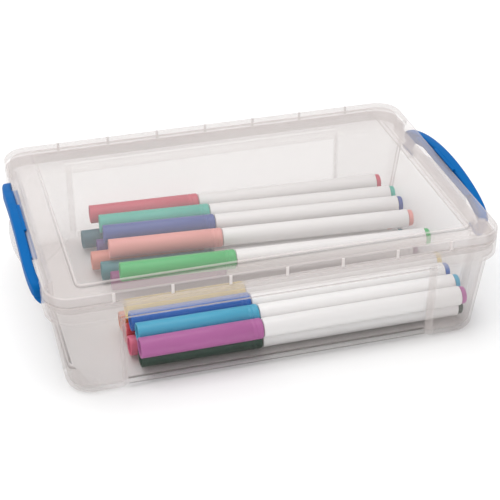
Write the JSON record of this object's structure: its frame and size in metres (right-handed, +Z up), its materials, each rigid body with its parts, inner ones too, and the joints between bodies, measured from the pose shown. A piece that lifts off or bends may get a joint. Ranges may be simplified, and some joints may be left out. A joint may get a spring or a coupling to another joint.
{
  "type": "art supply box",
  "caption": "Shallow clear plastic art supply box with a lift-off lid, blue end latches and corner feet, holding a pile of capped felt-tip markers.",
  "frame": {"origin": "under the middle of the box, on the plane of its feet", "axes": "+X along the long side towards the markers' plugs, +Y towards the back, +Z up"},
  "size_m": [0.2238, 0.1468, 0.0573],
  "materials": {
    "clear_plastic": "translucent polypropylene, satin",
    "latch_blue": "satin blue polypropylene",
    "barrel_white": "smooth white",
    "ink_bottle_green": "coloured marker plastic",
    "ink_pink": "coloured marker plastic",
    "ink_red": "coloured marker plastic",
    "ink_orange": "coloured marker plastic",
    "ink_plum": "coloured marker plastic",
    "ink_teal": "coloured marker plastic",
    "ink_coral": "coloured marker plastic",
    "ink_violet": "coloured marker plastic",
    "ink_dark_teal": "coloured marker plastic",
    "ink_orchid": "coloured marker plastic",
    "ink_cyan": "coloured marker plastic",
    "ink_blue": "coloured marker plastic",
    "ink_yellow": "coloured marker plastic",
    "ink_green": "coloured marker plastic",
    "ink_salmon": "coloured marker plastic",
    "ink_navy": "coloured marker plastic",
    "ink_mint": "coloured marker plastic",
    "ink_rose": "coloured marker plastic"
  },
  "bodies": {
    "tub": {"tub": "clear_plastic", "barrel_bottle_green": "barrel_white", "plug_bottle_green": "ink_bottle_green", "barrel_pink": "barrel_white", "plug_pink": "ink_pink", "barrel_red": "barrel_white", "plug_red": "ink_red", "barrel_orange": "barrel_white", "plug_orange": "ink_orange", "barrel_plum": "barrel_white", "plug_plum": "ink_plum", "barrel_teal": "barrel_white", "plug_teal": "ink_teal", "barrel_coral": "barrel_white", "plug_coral": "ink_coral", "barrel_violet": "barrel_white", "plug_violet": "ink_violet", "barrel_dark_teal": "barrel_white", "plug_dark_teal": "ink_dark_teal", "barrel_orchid": "barrel_white", "plug_orchid": "ink_orchid", "barrel_cyan": "barrel_white", "plug_cyan": "ink_cyan", "barrel_blue": "barrel_white", "plug_blue": "ink_blue", "barrel_yellow": "barrel_white", "plug_yellow": "ink_yellow", "barrel_green": "barrel_white", "plug_green": "ink_green", "barrel_salmon": "barrel_white", "plug_salmon": "ink_salmon", "barrel_navy": "barrel_white", "plug_navy": "ink_navy", "barrel_mint": "barrel_white", "plug_mint": "ink_mint", "barrel_rose": "barrel_white", "plug_rose": "ink_rose"},
    "lid": {"lid": "clear_plastic"},
    "latch_right": {"latch_right": "latch_blue"},
    "latch_left": {"latch_left": "latch_blue"},
    "cap_bottle_green": {"cap_bottle_green": "ink_bottle_green"},
    "cap_pink": {"cap_pink": "ink_pink"},
    "cap_red": {"cap_red": "ink_red"},
    "cap_orange": {"cap_orange": "ink_orange"},
    "cap_plum": {"cap_plum": "ink_plum"},
    "cap_teal": {"cap_teal": "ink_teal"},
    "cap_coral": {"cap_coral": "ink_coral"},
    "cap_violet": {"cap_violet": "ink_violet"},
    "cap_dark_teal": {"cap_dark_teal": "ink_dark_teal"},
    "cap_orchid": {"cap_orchid": "ink_orchid"},
    "cap_cyan": {"cap_cyan": "ink_cyan"},
    "cap_blue": {"cap_blue": "ink_blue"},
    "cap_yellow": {"cap_yellow": "ink_yellow"},
    "cap_green": {"cap_green": "ink_green"},
    "cap_salmon": {"cap_salmon": "ink_salmon"},
    "cap_navy": {"cap_navy": "ink_navy"},
    "cap_mint": {"cap_mint": "ink_mint"},
    "cap_rose": {"cap_rose": "ink_rose"}
  },
  "joints": [
    {"name": "lid_lift", "type": "slide", "parent": "tub", "child": "lid", "axis": [0, 0, 1], "range_m": [0, 0.1]},
    {"name": "latch_right_swing", "type": "hinge", "parent": "tub", "child": "latch_right", "pos_m": [0.105, 0, 0.0406], "axis": [0, 1, 0], "range_deg": [0, 75]},
    {"name": "latch_left_swing", "type": "hinge", "parent": "tub", "child": "latch_left", "pos_m": [-0.105, 0, 0.0406], "axis": [0, -1, 0], "range_deg": [0, 75]},
    {"name": "cap_bottle_green_pull", "type": "slide", "parent": "tub", "child": "cap_bottle_green", "axis": [-1, 0.0013, 0], "range_m": [0, 0.018]},
    {"name": "cap_pink_pull", "type": "slide", "parent": "tub", "child": "cap_pink", "axis": [-0.9998, -0.0177, 0], "range_m": [0, 0.018]},
    {"name": "cap_red_pull", "type": "slide", "parent": "tub", "child": "cap_red", "axis": [-0.9997, -0.0228, 0], "range_m": [0, 0.018]},
    {"name": "cap_orange_pull", "type": "slide", "parent": "tub", "child": "cap_orange", "axis": [-0.9998, -0.0222, 0], "range_m": [0, 0.018]},
    {"name": "cap_plum_pull", "type": "slide", "parent": "tub", "child": "cap_plum", "axis": [-0.998, 0.0633, 0], "range_m": [0, 0.018]},
    {"name": "cap_teal_pull", "type": "slide", "parent": "tub", "child": "cap_teal", "axis": [-0.998, 0.0633, 0], "range_m": [0, 0.018]},
    {"name": "cap_coral_pull", "type": "slide", "parent": "tub", "child": "cap_coral", "axis": [-0.9982, 0.0601, 0], "range_m": [0, 0.018]},
    {"name": "cap_violet_pull", "type": "slide", "parent": "tub", "child": "cap_violet", "axis": [-0.9984, 0.057, 0], "range_m": [0, 0.018]},
    {"name": "cap_dark_teal_pull", "type": "slide", "parent": "tub", "child": "cap_dark_teal", "axis": [-0.9992, 0.0411, 0], "range_m": [0, 0.018]},
    {"name": "cap_orchid_pull", "type": "slide", "parent": "tub", "child": "cap_orchid", "axis": [-1, 0, -0.0025], "range_m": [0, 0.018]},
    {"name": "cap_cyan_pull", "type": "slide", "parent": "tub", "child": "cap_cyan", "axis": [-1, -0.0013, 0.0038], "range_m": [0, 0.018]},
    {"name": "cap_blue_pull", "type": "slide", "parent": "tub", "child": "cap_blue", "axis": [-1, 0, 0], "range_m": [0, 0.018]},
    {"name": "cap_yellow_pull", "type": "slide", "parent": "tub", "child": "cap_yellow", "axis": [-1, -0.0025, 0], "range_m": [0, 0.018]},
    {"name": "cap_green_pull", "type": "slide", "parent": "tub", "child": "cap_green", "axis": [-0.9982, 0.0608, 0], "range_m": [0, 0.018]},
    {"name": "cap_salmon_pull", "type": "slide", "parent": "tub", "child": "cap_salmon", "axis": [-0.9969, 0.0791, 0], "range_m": [0, 0.018]},
    {"name": "cap_navy_pull", "type": "slide", "parent": "tub", "child": "cap_navy", "axis": [-0.9971, 0.0759, 0], "range_m": [0, 0.018]},
    {"name": "cap_mint_pull", "type": "slide", "parent": "tub", "child": "cap_mint", "axis": [-0.9973, 0.0728, 0], "range_m": [0, 0.018]},
    {"name": "cap_rose_pull", "type": "slide", "parent": "tub", "child": "cap_rose", "axis": [-0.9987, 0.0506, 0], "range_m": [0, 0.018]}
  ]
}
